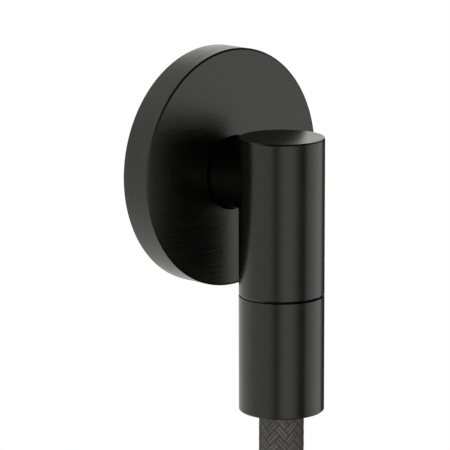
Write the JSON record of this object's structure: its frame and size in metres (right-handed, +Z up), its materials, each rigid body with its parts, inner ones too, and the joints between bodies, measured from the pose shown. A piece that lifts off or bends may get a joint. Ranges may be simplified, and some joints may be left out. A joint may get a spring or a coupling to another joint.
{
  "type": "wall outlet elbow",
  "caption": "Shower wall outlet elbow with a round wall flange, an upright cylindrical body, a sleeve nut and a braided hose with its loose end nut.",
  "frame": {"origin": "where the inlet's axis meets the wall", "axes": "+Y along the inlet into the wall, +Z up along the upright body"},
  "size_m": [0.1679, 0.0935, 0.3199],
  "materials": {
    "brushed_metal": "brushed satin",
    "plain_brass": "turned",
    "seal_rubber": "matte",
    "hose_braid": "woven",
    "strap": "woven"
  },
  "bodies": {
    "elbow": {"wall_flange": "brushed_metal", "flange_seal": "seal_rubber", "elbow_body": "brushed_metal", "hose_nut": "brushed_metal", "hose_inserts": "plain_brass", "hose_ferrules": "plain_brass", "hose_washers": "seal_rubber", "hose_lead": "hose_braid", "hose_coil": "hose_braid", "hose_tail": "hose_braid", "hose_tie": "strap"},
    "end_nut": {"end_nut": "brushed_metal"}
  },
  "joints": [
    {"name": "end_nut_spin", "type": "hinge", "parent": "elbow", "child": "end_nut", "pos_m": [0.03238, -0.06615, -0.26619], "axis": [0, 0, 1], "continuous": true}
  ]
}
